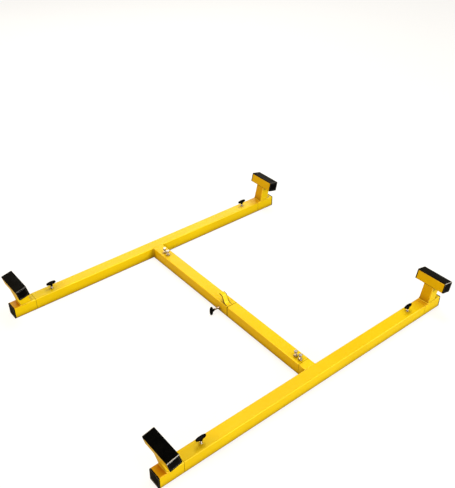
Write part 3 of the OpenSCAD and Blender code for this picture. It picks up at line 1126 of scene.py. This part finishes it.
def hook_weld():
    """The bead round three sides of the hook's foot."""
    low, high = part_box("tie_hook")
    back, front = low.y, low.y + HOOK_FOOT
    z = low.z + BEAD_CLEARANCE
    corners = [Vector(c) for c in ((low.x, front, z), (low.x, back, z), (high.x, back, z),
                                   (high.x, front, z))]
    mesh = mesh_of("hook_weld", [bead(corners, Vector((0, 0, 1)), HOOK_BEAD, False)])
    piece_of(mesh, yellow, body_of("tie_hook"))


# Studio

def white_floor():
    """A plain pale floor. Its glow is only for the camera, so that it throws little light on the
    object's underside."""
    mesh = bpy.data.meshes.new("floor")
    reach, z = 40.0, -0.5 * MM
    corners = [(x * reach, y * reach, z) for x, y in ((-1, -1), (1, -1), (1, 1), (-1, 1))]
    mesh.from_pydata(corners, [], [(0, 1, 2, 3)])
    floor = bpy.data.objects.new("floor", mesh)
    bpy.context.scene.collection.objects.link(floor)
    material, tree, shader = new_material("floor")
    shader.inputs["Base Color"].default_value = (0.24, 0.24, 0.24, 1)
    shader.inputs["Roughness"].default_value = 0.9
    shader.inputs["Specular IOR Level"].default_value = 0.0
    glow = add(tree, "ShaderNodeEmission", {"Strength": 0.78})
    seen = add(tree, "ShaderNodeLightPath").outputs["Is Camera Ray"]
    black = add(tree, "ShaderNodeEmission", {"Strength": 0.0})
    only_seen = add(tree, "ShaderNodeMixShader")
    tree.links.new(seen, only_seen.inputs["Fac"])
    tree.links.new(black.outputs[0], only_seen.inputs[1])
    tree.links.new(glow.outputs[0], only_seen.inputs[2])
    both = add(tree, "ShaderNodeAddShader")
    tree.links.new(shader.outputs[0], both.inputs[0])
    tree.links.new(only_seen.outputs[0], both.inputs[1])
    tree.links.new(both.outputs[0], tree.nodes["Material Output"].inputs["Surface"])
    mesh.materials.append(material)


def softbox(name, place, target, size, power, colour):
    """A rectangular lamp that looks at a target."""
    light = bpy.data.lights.new(name, "AREA")
    light.shape = "RECTANGLE"
    light.size, light.size_y = size
    light.energy = power
    light.color = colour
    lamp = bpy.data.objects.new(name, light)
    bpy.context.scene.collection.objects.link(lamp)
    lamp.location = place
    lamp.rotation_euler = (Vector(target) - Vector(place)).to_track_quat("-Z", "Y").to_euler()


def studio():
    """A warm, bright surround with softboxes in front, above, behind and to the left."""
    world = bpy.data.worlds.new("surround")
    bpy.context.scene.world = world
    world.use_nodes = True
    tree = world.node_tree
    surround = tree.nodes["Background"]
    surround.inputs["Strength"].default_value = 0.52
    surround.inputs["Color"].default_value = (1.0, 0.84, 0.60, 1)
    backdrop = add(tree, "ShaderNodeBackground", {"Color": (1, 1, 1, 1), "Strength": 1.1})
    seen = add(tree, "ShaderNodeLightPath").outputs["Is Camera Ray"]
    mix = add(tree, "ShaderNodeMixShader")
    tree.links.new(seen, mix.inputs["Fac"])
    tree.links.new(surround.outputs[0], mix.inputs[1])
    tree.links.new(backdrop.outputs[0], mix.inputs[2])
    tree.links.new(mix.outputs[0], tree.nodes["World Output"].inputs["Surface"])
    neutral, warm, amber = (0.95, 1.0, 0.98), (1.0, 0.975, 0.89), (1.0, 0.70, 0.34)
    softbox("front_softbox", (0.6, -6.0, 1.3), (0.1, 0.0, 0.0), (4.0, 2.4), 378, warm)
    softbox("key_softbox", (0.9, 0.5, 3.1), (0.0, 0.1, 0.0), (1.3, 1.3), 54, neutral)
    softbox("back_softbox", (1.6, 3.4, 2.0), (0.1, 0.5, 0.0), (3.4, 1.6), 40, neutral)
    softbox("left_softbox", (-3.5, 0.3, 2.0), (0.0, 0.1, 0.0), (2.4, 1.0), 106, amber)
    softbox("edge_strip", (0.1, -1.5, 3.0), (0.0, -0.2, 0.0), (2.6, 0.06), 8, neutral)


def camera():
    """The camera, which looks at its target from above and is not rolled."""
    data = bpy.data.cameras.new("camera")
    data.sensor_fit = "AUTO"
    data.sensor_width = 36
    data.lens = CAMERA_LENS
    data.clip_end = 200
    eye = bpy.data.objects.new("camera", data)
    bpy.context.scene.collection.objects.link(eye)
    level = math.cos(CAMERA_ELEVATION)
    back = Vector((math.sin(CAMERA_AZIMUTH) * level, -math.cos(CAMERA_AZIMUTH) * level,
                   math.sin(CAMERA_ELEVATION)))
    eye.location = CAMERA_TARGET + CAMERA_DISTANCE * back
    eye.rotation_euler = back.to_track_quat("Z", "Y").to_euler()
    bpy.context.scene.camera = eye


camera()
studio()
white_floor()
bpy.context.scene.view_settings.view_transform = "Standard"

finish_tubes()
for end_name in ENDS:
    ribbed_pad(end_name)
    head_caps(end_name)
    end_cap(end_name)
    post_welds(end_name)
for screw_name in SCREWS:
    threaded_shank(screw_name)
    threaded_bush(screw_name)
wing_knobs()
for pair in ("near", "far"):
    set_bolts(pair, ThumbScrew(SCREWS[0]).radius)
    frame["nodes"][pair + "_weld_nuts"].data.materials.clear()
    frame["nodes"][pair + "_weld_nuts"].data.materials.append(steel)
bent_strap()
hook_weld()
spine_welds()
